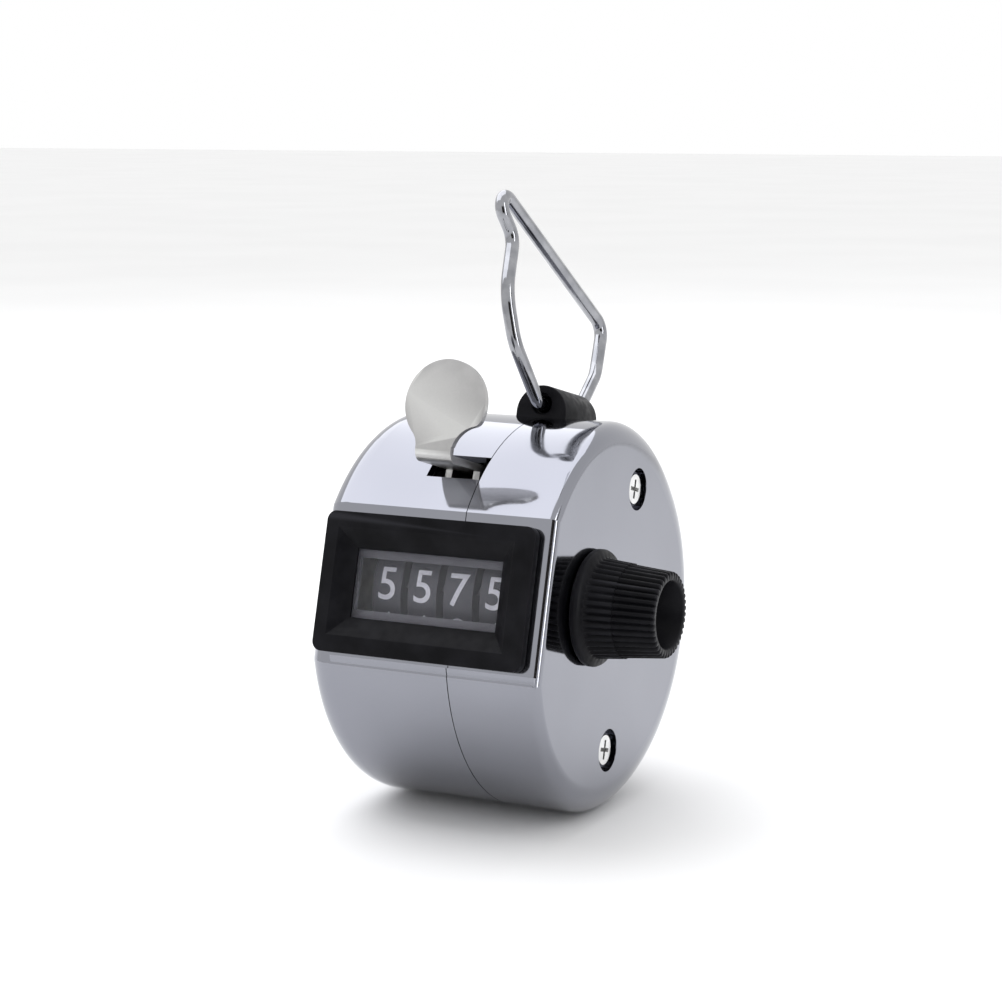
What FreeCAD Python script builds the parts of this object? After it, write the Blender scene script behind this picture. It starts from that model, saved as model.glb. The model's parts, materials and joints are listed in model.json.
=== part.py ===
import FreeCAD, Part
import Sketcher
import math
import os
import re

"""Hand tally counter.

Design axes: X runs along the drum from the left face to the right face, the window faces -Y,
+Z is up along the window's height.  The origin of the design axes is the drum's axis, half way
along it.  Every finished sub-part is then leaned back about the drum's axis and moved along X so
that the part's own origin is the centre of the flat left face.  All lengths are millimetres.
"""

SIZES = {
    # how the counter sits
    "lean": -15.3,
    "half_width": 14.7,
    # chromed drum
    "body_radius": 22.5,
    "wall": 1.0,
    "left_round": 3.8,
    "right_round": 5.2,
    "right_tight_round": 1.3,
    "right_corner_round": 1.0,
    "tight_until": 50.0,
    "full_from": 130.0,
    "flat_front": 20.6,
    "flat_low": -8.05,
    "seam_x": 3.75,
    "seam_gap": 0.1,
    # lever slot in the left half
    "slot_left": -2.9,
    "slot_angle": 39.5,
    "slot_half": 1.8,
    # window bezel, lens and mask
    "bezel_x": 0.05,
    "bezel_z": 0.11,
    "bezel_half_width": 12.9,
    "bezel_half_height": 7.85,
    "bezel_corner": 1.1,
    "bezel_proud": 1.25,
    "funnel_x": -0.35,
    "funnel_z": 0.2,
    "funnel_half_width": 10.95,
    "funnel_half_height": 6.05,
    "funnel_depth": 1.65,
    "view_half_width": 9.05,
    "view_half_height": 3.85,
    "skirt_half_width": 10.6,
    "skirt_half_height": 5.7,
    "skirt_back": 18.9,
    "lens_half_width": 9.95,
    "lens_half_height": 4.75,
    "lens_front": 19.85,
    "mask_front": 18.8,
    "mask_thick": 0.6,
    "mask_low": -2.7,
    "mask_high": 3.2,
    # inner frame
    "plate_radius": 17.4,
    "plate_front": 18.7,
    "plate_thick": 0.8,
    "left_plate_x": -11.4,
    "right_plate_x": 9.7,
    "post_z": 15.0,
    "post_radius": 1.8,
    "rear_post_y": 14.0,
    # screws
    "screw_radius": 1.0,
    "head_radius": 1.7,
    "head_thick": 0.8,
    "cross_width": 0.45,
    "cross_length": 2.2,
    "recess_radius": 2.45,
    "recess_depth": 1.2,
    # shaft, bushes and knob
    "shaft_y": -9.0,
    "shaft_z": 0.6,
    "shaft_radius": 1.5,
    "shaft_left": -12.4,
    "shaft_right": 18.0,
    "bore_play": 0.06,
    "knob_start": 14.85,
    "knob_end": 24.1,
    "flange_radius": 6.55,
    "flange_end": 16.1,
    "knob_base_radius": 5.6,
    "knob_end_radius": 4.75,
    "knob_bore": 3.75,
    "knob_floor": 18.1,
    # number wheels
    "wheel_radius": 8.0,
    "rim_thick": 0.9,
    "band_half": 1.8,
    "wheel_pitch": 4.5,
    "first_wheel_x": -6.95,
    "tooth_tip": 6.9,
    "tooth_root": 5.6,
    "ratchet_end": 2.65,
    "tooth_phase": 2.0,
    "stud_radius": 0.5,
    "stud_offset": 4.8,
    # thumb lever, in its own plane
    "pivot_y": -15.3,
    "pivot_z": 8.3,
    "pin_radius": 1.0,
    "lever_left": -1.6,
    "lever_right": 2.65,
    "sheet": 0.8,
    "arm_z": 14.0,
    "pad_front": 24.2,
    "pad_x": 1.38,
    "pad_z": 20.35,
    "pad_radius": 4.9,
    "neck_right": 2.75,
    "neck_round": 2.2,
    "scoop_radius": 3.2,
    "bend_round": 1.3,
    # feed pawl carried by the lever
    "feed_y": -3.9,
    "feed_z": 13.0,
    "feed_radius": 0.9,
    "finger_thick": 0.6,
    "finger_step": 0.3,
    # stop pin
    "stop_y": -6.0,
    "stop_z": 15.8,
    "stop_radius": 0.9,
    # detent bar and leaf spring
    "bar_y": -3.0,
    "bar_z": -11.5,
    "bar_half": 1.3,
    "leaf": 0.3,
    # ring lug and wire ring
    "lug_tilt": 2.0,
    "lug_rise": 1.2,
    "lug_radius": 3.15,
    "lug_half": 4.4,
    "lug_hole": 0.95,
    "ring_wire": 0.8,
    "ring_tilt": 12.0,
}

WHEEL_NAMES = ["thousands", "hundreds", "tens", "units"]

doc = FreeCAD.newDocument("tally_counter")
sheet = doc.addObject("Spreadsheet::Sheet", "sizes")
for row, (alias, value) in enumerate(SIZES.items(), start=1):
    sheet.set(f"A{row}", alias)
    sheet.set(f"B{row}", str(value))
    sheet.setAlias(f"B{row}", alias)
doc.recompute()

finished = []


def formula(text):
    """Expression text with every sheet alias written as sizes.alias."""
    def qualify(match):
        word = match.group(0)
        return "sizes." + word if word in SIZES else word
    return re.sub(r"[a-z][a-z_]*", qualify, str(text))


def bind(thing, **expressions):
    """Tie properties to sheet formulas; a double underscore in a name stands for a dot."""
    for name, text in expressions.items():
        thing.setExpression(name.replace("__", "."), formula(text))


def finish(thing, label, x="0", y="0", z="0", tilt="0"):
    """Name a finished sub-part and put its local origin at (x, y, z) of the design axes."""
    thing.Label = label
    thing.Placement = FreeCAD.Placement(FreeCAD.Vector(), FreeCAD.Rotation(FreeCAD.Vector(1, 0, 0), -10))
    bind(
        thing,
        Placement__Rotation__Angle=f"lean + {tilt}",
        Placement__Base__x=f"half_width + {x}",
        Placement__Base__y=f"({y}) * cos(lean) - ({z}) * sin(lean)",
        Placement__Base__z=f"({y}) * sin(lean) + ({z}) * cos(lean)",
    )
    finished.append(thing)
    return thing


# ---------------------------------------------------------------- sketches and features

def origin_feature(body, role):
    for feature in body.Origin.OriginFeatures:
        if feature.Role == role:
            return feature
    raise LookupError(role)


def new_sketch(body, plane, start):
    sketch = body.newObject("Sketcher::SketchObject", "sketch")
    sketch.AttachmentSupport = [(origin_feature(body, plane), "")]
    sketch.MapMode = "FlatFace"
    bind(sketch, AttachmentOffset__Base__z=start)
    return sketch


def set_distance(sketch, kind, corner, text):
    """Fix one coordinate of a line's first point, or of a circle's centre, to a formula."""
    geometry, point = corner
    index = sketch.addConstraint(Sketcher.Constraint(kind, -1, 1, geometry, point, 1.0))
    sketch.setExpression(f"Constraints[{index}]", formula(text))


def outline_sketch(body, plane, points, start="0"):
    """Closed outline through the points, each an (across, up) pair of formulas."""
    sketch = new_sketch(body, plane, start)
    count = len(points)
    corners = []
    for number in range(count):
        angle = 2 * math.pi * number / count
        corners.append(FreeCAD.Vector(10 * math.cos(angle), 10 * math.sin(angle), 0))
    for number in range(count):
        sketch.addGeometry(Part.LineSegment(corners[number], corners[(number + 1) % count]), False)
    for number in range(count):
        following = (number + 1) % count
        sketch.addConstraint(Sketcher.Constraint("Coincident", number, 2, following, 1))
    for number, (across, up) in enumerate(points):
        set_distance(sketch, "DistanceX", (number, 1), across)
        set_distance(sketch, "DistanceY", (number, 1), up)
    return sketch


def circle_sketch(body, plane, across, up, radius, start="0"):
    sketch = new_sketch(body, plane, start)
    sketch.addGeometry(Part.Circle(FreeCAD.Vector(1, 1, 0), FreeCAD.Vector(0, 0, 1), 3), False)
    set_distance(sketch, "DistanceX", (0, 3), across)
    set_distance(sketch, "DistanceY", (0, 3), up)
    index = sketch.addConstraint(Sketcher.Constraint("Radius", 0, 3.0))
    sketch.setExpression(f"Constraints[{index}]", formula(radius))
    return sketch


def pad(body, sketch, length):
    """Material from the sketch along its plane's normal."""
    feature = body.newObject("PartDesign::Pad", "pad")
    feature.Profile = sketch
    bind(feature, Length=length)
    body.Tip = feature
    return feature


def pocket(body, sketch, length):
    """A cut from the sketch along its plane's normal."""
    feature = body.newObject("PartDesign::Pocket", "pocket")
    feature.Profile = sketch
    feature.Reversed = True
    bind(feature, Length=length)
    body.Tip = feature
    return feature


def pad_outline(body, plane, points, start, length):
    return pad(body, outline_sketch(body, plane, points, start), length)


def pad_circle(body, plane, across, up, radius, start, length):
    return pad(body, circle_sketch(body, plane, across, up, radius, start), length)


def cut_outline(body, plane, points, start, length):
    return pocket(body, outline_sketch(body, plane, points, start), length)


def cut_circle(body, plane, across, up, radius, start, length):
    return pocket(body, circle_sketch(body, plane, across, up, radius, start), length)


def revolve(body, points):
    """Turn an (along, radius) outline about the body's own X axis."""
    feature = body.newObject("PartDesign::Revolution", "turning")
    feature.Profile = outline_sketch(body, "XY_Plane", points)
    feature.ReferenceAxis = (origin_feature(body, "X_Axis"), [""])
    feature.Angle = 360
    body.Tip = feature
    return feature


def repeat_round(body, feature, count):
    """Repeat a feature round the body's own X axis."""
    pattern = body.newObject("PartDesign::PolarPattern", "pattern")
    pattern.Originals = [feature]
    pattern.Axis = (origin_feature(body, "X_Axis"), [""])
    pattern.Angle = 360
    pattern.Occurrences = count
    body.Tip = pattern
    return pattern


def round_edges(body, wanted, radius):
    """Fillet the edges of the body's tip that the test picks."""
    doc.recompute()
    base = body.Tip
    names = [f"Edge{number}" for number, edge in enumerate(base.Shape.Edges, start=1) if wanted(edge)]
    fillet = body.newObject("PartDesign::Fillet", "fillet")
    fillet.Base = (base, names)
    bind(fillet, Radius=radius)
    body.Tip = fillet
    return fillet


def new_body(name):
    return doc.addObject("PartDesign::Body", name)


def rectangle(left, right, low, high):
    return [(left, low), (right, low), (right, high), (left, high)]


def turned_part(label, points, x="0", y="0", z="0"):
    body = new_body(label)
    revolve(body, points)
    return finish(body, label, x, y, z)


def tube_outline(start, end, inner, outer):
    return [(start, inner), (end, inner), (end, outer), (start, outer)]


# ---------------------------------------------------------------- primitives and booleans

def block(name, x, y, z, length, depth, height):
    box = doc.addObject("Part::Box", name)
    bind(box, Placement__Base__x=x, Placement__Base__y=y, Placement__Base__z=z)
    bind(box, Length=length, Width=depth, Height=height)
    return box


def rod(name, radius, x, length, y, z):
    """Cylinder along X."""
    cylinder = doc.addObject("Part::Cylinder", name)
    cylinder.Placement.Rotation = FreeCAD.Rotation(FreeCAD.Vector(0, 1, 0), 90)
    bind(cylinder, Placement__Base__x=x, Placement__Base__y=y, Placement__Base__z=z)
    bind(cylinder, Radius=radius, Height=length)
    return cylinder


def fuse(name, shapes):
    union = doc.addObject("Part::MultiFuse", name)
    union.Shapes = shapes
    return union


def cut(name, base, tools):
    difference = doc.addObject("Part::Cut", name)
    difference.Base = base
    difference.Tool = tools[0] if len(tools) == 1 else fuse(name + "_tools", tools)
    return difference


def common(name, first, second):
    overlap = doc.addObject("Part::Common", name)
    overlap.Base = first
    overlap.Tool = second
    return overlap


# ---------------------------------------------------------------- chromed drum

def drum_sketch(body, inset):
    """Side outline of the drum: a straight front and a round back made of five arcs."""
    sketch = new_sketch(body, "YZ_Plane", f"{inset} - half_width")
    corner = math.degrees(math.acos(sheet.flat_front / sheet.body_radius))
    tight = sheet.tight_until
    full = sheet.full_from
    joints = [corner, tight, full, 360 - full, 360 - tight, 360 - corner]
    circle = Part.Circle(FreeCAD.Vector(), FreeCAD.Vector(0, 0, 1), sheet.body_radius)
    for first, last in zip(joints, joints[1:]):
        arc = Part.ArcOfCircle(circle, math.radians(180 - last), math.radians(180 - first))
        number = sketch.addGeometry(arc, False)
        sketch.addConstraint(Sketcher.Constraint("Coincident", number, 3, -1, 1))
        if number > 0:
            sketch.addConstraint(Sketcher.Constraint("Coincident", number - 1, 1, number, 2))
    last_arc = len(joints) - 2
    front = Part.LineSegment(FreeCAD.Vector(-sheet.flat_front, -9, 0), FreeCAD.Vector(-sheet.flat_front, 9, 0))
    line = sketch.addGeometry(front, False)
    sketch.addConstraint(Sketcher.Constraint("Coincident", last_arc, 1, line, 1))
    sketch.addConstraint(Sketcher.Constraint("Coincident", line, 2, 0, 2))
    radius = f"(body_radius - ({inset}))"
    index = sketch.addConstraint(Sketcher.Constraint("Radius", 0, sheet.body_radius))
    sketch.setExpression(f"Constraints[{index}]", formula(radius))
    front_y = f"({inset}) - flat_front"
    set_distance(sketch, "DistanceX", (0, 2), front_y)
    for number, angle in enumerate(("tight_until", "full_from", "full_from", "tight_until")):
        set_distance(sketch, "DistanceX", (number, 1), f"-{radius} * cos({angle})")
    set_distance(sketch, "DistanceX", (last_arc, 1), front_y)
    return sketch


def round_near(point, side, inset_value):
    """Edge rounding of an end face at a point: the right end is sharper beside the flat."""
    if side < 0:
        return sheet.left_round - inset_value
    angle = abs(math.degrees(math.atan2(point.z, -point.y)))
    if angle < sheet.tight_until - 5:
        radius = sheet.right_corner_round
    elif angle < sheet.full_from - 5:
        radius = sheet.right_tight_round
    else:
        radius = sheet.right_round
    return max(radius - inset_value, 0.3)


def drum_solid(name, inset):
    """The drum with its flat front, taken in from the outside by the inset."""
    inset_value = sheet.wall if inset == "wall" else float(inset)
    body = new_body(name + "_block")
    pad(body, drum_sketch(body, inset), f"2 * (half_width - ({inset}))")
    doc.recompute()
    rounded_ends = []
    for number, edge in enumerate(body.Shape.Edges, start=1):
        if edge.BoundBox.XLength > 0.001:
            continue
        side = edge.CenterOfMass.x
        first = round_near(edge.valueAt(edge.FirstParameter), side, inset_value)
        last = round_near(edge.valueAt(edge.LastParameter), side, inset_value)
        rounded_ends.append((number, first, last))
    fillet = doc.addObject("Part::Fillet", name)
    fillet.Base = body
    fillet.Edges = rounded_ends
    return fillet


def flat_lip():
    """Low step left along the lower edge of the flat."""
    body = new_body("flat_lip")
    lip = [
        ("-flat_front + 0.3", "flat_low"),
        ("-flat_front - 0.4", "flat_low"),
        ("-flat_front - 0.2", "flat_low - 0.45"),
        ("-flat_front + 0.3", "flat_low - 1.2"),
    ]
    start = "left_round - half_width"
    pad_outline(body, "YZ_Plane", lip, start, "2 * half_width - left_round - 0.35")
    return body


def slot_outline():
    """Radial slot outline across the front-top of the drum."""
    points = []
    for reach, side in (("17", "-1"), ("26", "-1"), ("26", "1"), ("17", "1")):
        y = f"-({reach}) * cos(slot_angle) + ({side}) * slot_half * sin(slot_angle)"
        z = f"({reach}) * sin(slot_angle) + ({side}) * slot_half * cos(slot_angle)"
        points.append((y, z))
    return points


def lug_seat():
    """Opening on top, shared by both halves, that the ring lug stands in."""
    seat = new_body("lug_seat")
    half = "lug_radius + 0.05"
    depth = "lug_half + 0.05"
    pad_outline(seat, "XY_Plane", rectangle(f"-({half})", half, f"-({depth})", depth), "body_radius - 3", "6")
    seat.Placement = FreeCAD.Placement(FreeCAD.Vector(), FreeCAD.Rotation(FreeCAD.Vector(1, 0, 0), 5))
    bind(seat, Placement__Rotation__Angle="lug_tilt", Placement__Base__x="seam_x")
    return seat


def casing_halves():
    outside = fuse("drum_with_lip", [drum_solid("drum_outside", "0"), flat_lip()])
    hollow = cut("drum_hollow", outside, [drum_solid("drum_inside", "wall")])
    window = block(
        "window_opening",
        "funnel_x - skirt_half_width - 0.05", "-flat_front - 1", "funnel_z - skirt_half_height - 0.05",
        "2 * skirt_half_width + 0.1", "3", "2 * skirt_half_height + 0.1",
    )
    drum = cut("drum", hollow, [window, lug_seat()])
    left_shell(drum)
    right_shell(drum)


def left_shell(drum):
    """Deeper half: lever slot, and two posts that take the long screws."""
    reach = "seam_x - seam_gap / 2 + half_width"
    side = block("left_side", "-half_width - 1", "-30", "-30", f"{reach} + 1", "60", "60")
    half = common("left_half", drum, side)
    posts = []
    pilots = []
    post_start = "wall / 2 - half_width"
    for name, z in (("upper", "post_z"), ("lower", "-post_z")):
        length = "left_plate_x + half_width - wall / 2 - 0.05"
        posts.append(rod(f"{name}_left_post", "post_radius + 0.4", post_start, length, "0", z))
        pilots.append(rod(f"{name}_pilot", "screw_radius", "-half_width + 1.7", "3", "0", z))
    slot = new_body("lever_slot")
    pad_outline(slot, "YZ_Plane", slot_outline(), "slot_left", "seam_x - slot_left + 1")
    solid = fuse("left_half_with_posts", [half] + posts)
    finish(cut("left_shell_cut", solid, pilots + [slot]), "left_shell")


def right_shell(drum):
    """Shallower half: screw recesses backed by bosses, and the hole for the shaft's bush."""
    start = "seam_x + seam_gap / 2"
    side = block("right_side", start, "-30", "-30", "half_width", "60", "60")
    half = common("right_half", drum, side)
    bosses = []
    holes = []
    for name, z in (("upper", "post_z"), ("lower", "-post_z")):
        bosses.append(rod(f"{name}_cup", "recess_radius + 0.85", "half_width - 2.5", "2", "0", z))
        boss_start = "right_plate_x + plate_thick + 0.05"
        bosses.append(rod(f"{name}_boss", "post_radius + 0.4", boss_start, "3", "0", z))
        recess_start = "half_width - recess_depth"
        holes.append(rod(f"{name}_recess", "recess_radius", recess_start, "2", "0", z))
        holes.append(rod(f"{name}_hole", "screw_radius + 0.15", "right_plate_x", "6", "0", z))
    holes.append(rod("bush_hole", "shaft_radius + 1.25", "half_width - 3", "4", "shaft_y", "shaft_z"))
    solid = fuse("right_half_with_bosses", [half] + bosses)
    finish(cut("right_shell_cut", solid, holes), "right_shell")


# ---------------------------------------------------------------- window

def is_bezel_corner(edge):
    along_y = abs(edge.tangentAt(edge.FirstParameter).y) > 0.99
    return along_y and abs(edge.CenterOfMass.x) > 11


def bezel_outline():
    return rectangle(
        "bezel_x - bezel_half_width", "bezel_x + bezel_half_width",
        "bezel_z - bezel_half_height", "bezel_z + bezel_half_height",
    )


def view_outline():
    return rectangle(
        "funnel_x - view_half_width", "funnel_x + view_half_width",
        "funnel_z - view_half_height", "funnel_z + view_half_height",
    )


def window_bezel():
    """Frame bedded on the drum's front, with a bevel running in to the view opening."""
    face = new_body("bezel_face")
    pad_outline(face, "XZ_Plane", bezel_outline(), "flat_front - 1.2", "bezel_proud + 1.2")
    round_edges(face, is_bezel_corner, "bezel_corner")
    bedded = cut("bedded_face", face, [drum_solid("bezel_bed", "-0.05")])
    skirt = new_body("bezel_skirt")
    skirt_outline = rectangle(
        "funnel_x - skirt_half_width", "funnel_x + skirt_half_width",
        "funnel_z - skirt_half_height", "funnel_z + skirt_half_height",
    )
    pad_outline(skirt, "XZ_Plane", skirt_outline, "skirt_back", "flat_front + 0.4 - skirt_back")
    lens_seat = new_body("lens_seat")
    seat_outline = rectangle(
        "funnel_x - lens_half_width - 0.05", "funnel_x + lens_half_width + 0.05",
        "funnel_z - lens_half_height - 0.05", "funnel_z + lens_half_height + 0.05",
    )
    pad_outline(lens_seat, "XZ_Plane", seat_outline, "skirt_back - 1", "lens_front + 1.02 - skirt_back")
    view = new_body("view_opening")
    pad_outline(view, "XZ_Plane", view_outline(), "skirt_back - 1", "5")
    funnel = doc.addObject("Part::Wedge", "funnel")
    front = "flat_front + bezel_proud"
    bind(funnel, Ymin=f"-({front})", Ymax=f"funnel_depth - ({front})")
    bind(funnel, Xmin="funnel_x - funnel_half_width", Xmax="funnel_x + funnel_half_width")
    bind(funnel, Zmin="funnel_z - funnel_half_height", Zmax="funnel_z + funnel_half_height")
    bind(funnel, X2min="funnel_x - view_half_width", X2max="funnel_x + view_half_width")
    bind(funnel, Z2min="funnel_z - view_half_height", Z2max="funnel_z + view_half_height")
    frame = fuse("bezel_frame", [bedded, skirt])
    finish(cut("window_bezel_cut", frame, [lens_seat, view, funnel]), "window_bezel")


def window_lens():
    body = new_body("lens")
    outline = rectangle(
        "funnel_x - lens_half_width", "funnel_x + lens_half_width",
        "funnel_z - lens_half_height", "funnel_z + lens_half_height",
    )
    pad_outline(body, "XZ_Plane", outline, "skirt_back + 0.05", "lens_front - skirt_back - 0.05")
    finish(body, "window_lens")


def digit_mask():
    """Plate between the frame plates with the slot that one row of digits shows through."""
    body = new_body("mask")
    left = "left_plate_x + plate_thick + 0.1"
    right = "right_plate_x - 0.1"
    pad_outline(body, "XZ_Plane", rectangle(left, right, "-6.6", "6.2"), "mask_front - mask_thick", "mask_thick")
    opening = rectangle(f"{left} + 0.8", f"{right} - 0.7", "mask_low", "mask_high")
    cut_outline(body, "XZ_Plane", opening, "mask_front - mask_thick", "mask_thick")
    finish(body, "digit_mask")


# ---------------------------------------------------------------- inner frame

def side_plate(label, x, shaft_hole):
    """Stamped plate with the holes that every pin and spacer shares."""
    body = new_body(label)
    pad_circle(body, "YZ_Plane", "0", "0", "plate_radius", x, "plate_thick")
    front = rectangle("-plate_radius - 2", "-plate_front", "-plate_radius", "plate_radius")
    cut_outline(body, "YZ_Plane", front, x, "plate_thick")
    holes = [
        ("shaft_y", "shaft_z", shaft_hole),
        ("pivot_y", "pivot_z", "pin_radius"),
        ("stop_y", "stop_z", "stop_radius"),
        ("0", "post_z", "screw_radius + 0.1"),
        ("0", "-post_z", "screw_radius + 0.1"),
        ("rear_post_y", "0", "screw_radius + 0.1"),
    ]
    for across, up, radius in holes:
        cut_circle(body, "YZ_Plane", across, up, radius, x, "plate_thick")
    finish(body, label)


def frame_spacers():
    """Three spacers between the plates; the two upper and lower ones pass the long screws."""
    start = "left_plate_x + plate_thick"
    length = "right_plate_x - left_plate_x - plate_thick"
    bodies = []
    bores = []
    for name, y, z in (("upper", "0", "post_z"), ("lower", "0", "-post_z"), ("rear", "rear_post_y", "0")):
        bodies.append(rod(f"{name}_spacer", "post_radius", start, length, y, z))
        bores.append(rod(f"{name}_bore", "screw_radius + 0.1", "left_plate_x", "half_width * 2", y, z))
    group = doc.addObject("Part::Compound", "spacer_rods")
    group.Links = bodies
    finish(cut("frame_spacers_cut", group, bores), "frame_spacers")


def screw_along_x(name, head_x, tip_x, y, z, outward):
    """Pan-head screw on the X axis; outward is +1 when the head faces right."""
    head_length = "head_thick"
    head_start = head_x if outward > 0 else f"{head_x} - head_thick"
    head = rod(f"{name}_head", "head_radius", head_start, head_length, y, z)
    shank_start = tip_x if outward > 0 else head_x
    shank_length = f"{head_x} - ({tip_x})" if outward > 0 else f"{tip_x} - ({head_x})"
    shank = rod(f"{name}_shank", "screw_radius", shank_start, shank_length, y, z)
    slots = []
    slot_x = f"{head_x} + head_thick / 3" if outward > 0 else f"{head_x} - head_thick"
    for part, width, height in (("up", "cross_width", "cross_length"), ("across", "cross_length", "cross_width")):
        slots.append(block(
            f"{name}_slot_{part}", slot_x, f"{y} - ({width}) / 2", f"{z} - ({height}) / 2",
            "head_thick * 2 / 3", width, height,
        ))
    return cut(f"{name}_screw", fuse(f"{name}_blank", [head, shank]), slots)


def screw_group(label, screws):
    group = doc.addObject("Part::Compound", label + "_set")
    group.Links = screws
    finish(group, label)


def all_screws():
    seat = "half_width - recess_depth"
    tip = "2 - half_width"
    upper = screw_along_x("upper_housing", seat, tip, "0", "post_z", 1)
    lower = screw_along_x("lower_housing", seat, tip, "0", "-post_z", 1)
    screw_group("housing_screws", [upper, lower])
    right_face = "right_plate_x + plate_thick"
    right = screw_along_x("right_frame", right_face, "right_plate_x - 5", "rear_post_y", "0", 1)
    left = screw_along_x("left_frame", "left_plate_x", "left_plate_x + 6", "rear_post_y", "0", -1)
    screw_group("frame_screws", [right, left])


# ---------------------------------------------------------------- shaft, bushes and knob

def reset_shaft():
    """Shaft under the wheels: clip groove, pick-up groove along it, tapped right end."""
    groove = "shaft_left + 0.3"
    tap = "0.8"
    tap_depth = "5"
    points = [
        ("shaft_left", "0"),
        ("shaft_right - " + tap_depth, "0"),
        ("shaft_right - " + tap_depth, tap),
        ("shaft_right", tap),
        ("shaft_right", "shaft_radius"),
        (f"{groove} + 0.3", "shaft_radius"),
        (f"{groove} + 0.3", "shaft_radius - 0.4"),
        (groove, "shaft_radius - 0.4"),
        (groove, "shaft_radius"),
        ("shaft_left", "shaft_radius"),
    ]
    body = new_body("reset_shaft")
    revolve(body, points)
    keyway = rectangle("-0.35", "0.35", "shaft_radius - 0.5", "shaft_radius + 1")
    cut_outline(body, "YZ_Plane", keyway, "first_wheel_x - 3", "3 * wheel_pitch + 6")
    finish(body, "reset_shaft", "0", "shaft_y", "shaft_z")


def bushes_and_washers():
    bore = "shaft_radius + bore_play"
    left_outline = [
        ("left_plate_x - 0.3", bore),
        ("left_plate_x + plate_thick + 0.4", bore),
        ("left_plate_x + plate_thick + 0.4", "shaft_radius + 1.7"),
        ("left_plate_x + plate_thick", "shaft_radius + 1.7"),
        ("left_plate_x + plate_thick", "shaft_radius + 0.9"),
        ("left_plate_x - 0.3", "shaft_radius + 0.9"),
    ]
    turned_part("left_shaft_bush", left_outline, "0", "shaft_y", "shaft_z")
    inner_wall = "half_width - wall"
    right_outline = [
        (f"{inner_wall} - 0.8", bore),
        ("half_width", bore),
        ("half_width", "shaft_radius + 1.2"),
        (inner_wall, "shaft_radius + 1.2"),
        (inner_wall, "shaft_radius + 2"),
        (f"{inner_wall} - 0.8", "shaft_radius + 2"),
    ]
    turned_part("right_shaft_bush", right_outline, "0", "shaft_y", "shaft_z")
    left_start = "left_plate_x + plate_thick + 0.45"
    left_end = "first_wheel_x - band_half - 0.05"
    left = new_body("left_washer")
    revolve(left, tube_outline(left_start, left_end, bore, "shaft_radius + 1.1"))
    right_start = "first_wheel_x + 3 * wheel_pitch + ratchet_end + 0.05"
    right = new_body("right_washer")
    revolve(right, tube_outline(right_start, "right_plate_x - 0.05", bore, "shaft_radius + 1.4"))
    pair = doc.addObject("Part::Compound", "washer_pair")
    pair.Links = [left, right]
    finish(pair, "thrust_washers", "0", "shaft_y", "shaft_z")
    clip = new_body("shaft_clip")
    clip_start = "shaft_left + 0.32"
    pad_circle(clip, "YZ_Plane", "0", "0", "shaft_radius + 1.1", clip_start, "0.26")
    cut_circle(clip, "YZ_Plane", "0", "0", "shaft_radius - 0.4", clip_start, "0.26")
    mouth = rectangle("-0.8", "0.8", "-5", "0")
    cut_outline(clip, "YZ_Plane", mouth, clip_start, "0.26")
    finish(clip, "shaft_clip", "0", "shaft_y", "shaft_z")


def reset_knob():
    """Hollow tapered knob with a flange; the shaft's end is fast in its hub."""
    points = [
        ("knob_start", "shaft_radius"),
        ("shaft_right", "shaft_radius"),
        ("shaft_right", "0.85"),
        ("knob_floor", "0.85"),
        ("knob_floor", "knob_bore"),
        ("knob_end", "knob_bore"),
        ("knob_end", "knob_end_radius"),
        ("flange_end", "knob_base_radius"),
        ("flange_end - 0.3", "flange_radius - 0.3"),
        ("flange_end - 0.7", "flange_radius"),
        ("knob_start", "flange_radius"),
    ]
    turned_part("reset_knob", points, "0", "shaft_y", "shaft_z")
    screw = [
        ("shaft_right - 4.5", "0"),
        ("knob_floor + 1.2", "0"),
        ("knob_floor + 1.2", "1.2"),
        ("knob_floor + 0.8", "1.6"),
        ("knob_floor", "1.6"),
        ("knob_floor", "0.8"),
        ("shaft_right - 4.5", "0.8"),
    ]
    body = new_body("knob_screw")
    revolve(body, screw)
    for wide, tall in (("0.2", "1"), ("1", "0.2")):
        arm = rectangle(f"-{wide}", wide, f"-{tall}", tall)
        cut_outline(body, "YZ_Plane", arm, "knob_floor + 0.7", "1")
    finish(body, "knob_screw", "0", "shaft_y", "shaft_z")


# ---------------------------------------------------------------- number wheels

def wheel_outline():
    """Number band open to the left, web, hub and ratchet disc, as an (along, radius) outline."""
    bore = "shaft_radius + bore_play"
    return [
        ("0.2", bore),
        ("ratchet_end", bore),
        ("ratchet_end", "tooth_root"),
        ("band_half", "tooth_root"),
        ("band_half", "wheel_radius"),
        ("-band_half", "wheel_radius"),
        ("-band_half", "wheel_radius - rim_thick"),
        ("band_half - 0.8", "wheel_radius - rim_thick"),
        ("band_half - 0.8", "shaft_radius + 1.1"),
        ("0.2", "shaft_radius + 1.1"),
    ]


def tooth_outline():
    """One saw tooth: radial face at the phase angle, sloping down over a tenth of a turn."""
    heel = "tooth_phase - 36"
    return [
        ("(tooth_root - 0.3) * cos(tooth_phase)", "(tooth_root - 0.3) * sin(tooth_phase)"),
        ("tooth_tip * cos(tooth_phase)", "tooth_tip * sin(tooth_phase)"),
        (f"tooth_root * cos({heel})", f"tooth_root * sin({heel})"),
        (f"(tooth_root - 0.3) * cos({heel})", f"(tooth_root - 0.3) * sin({heel})"),
    ]


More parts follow.
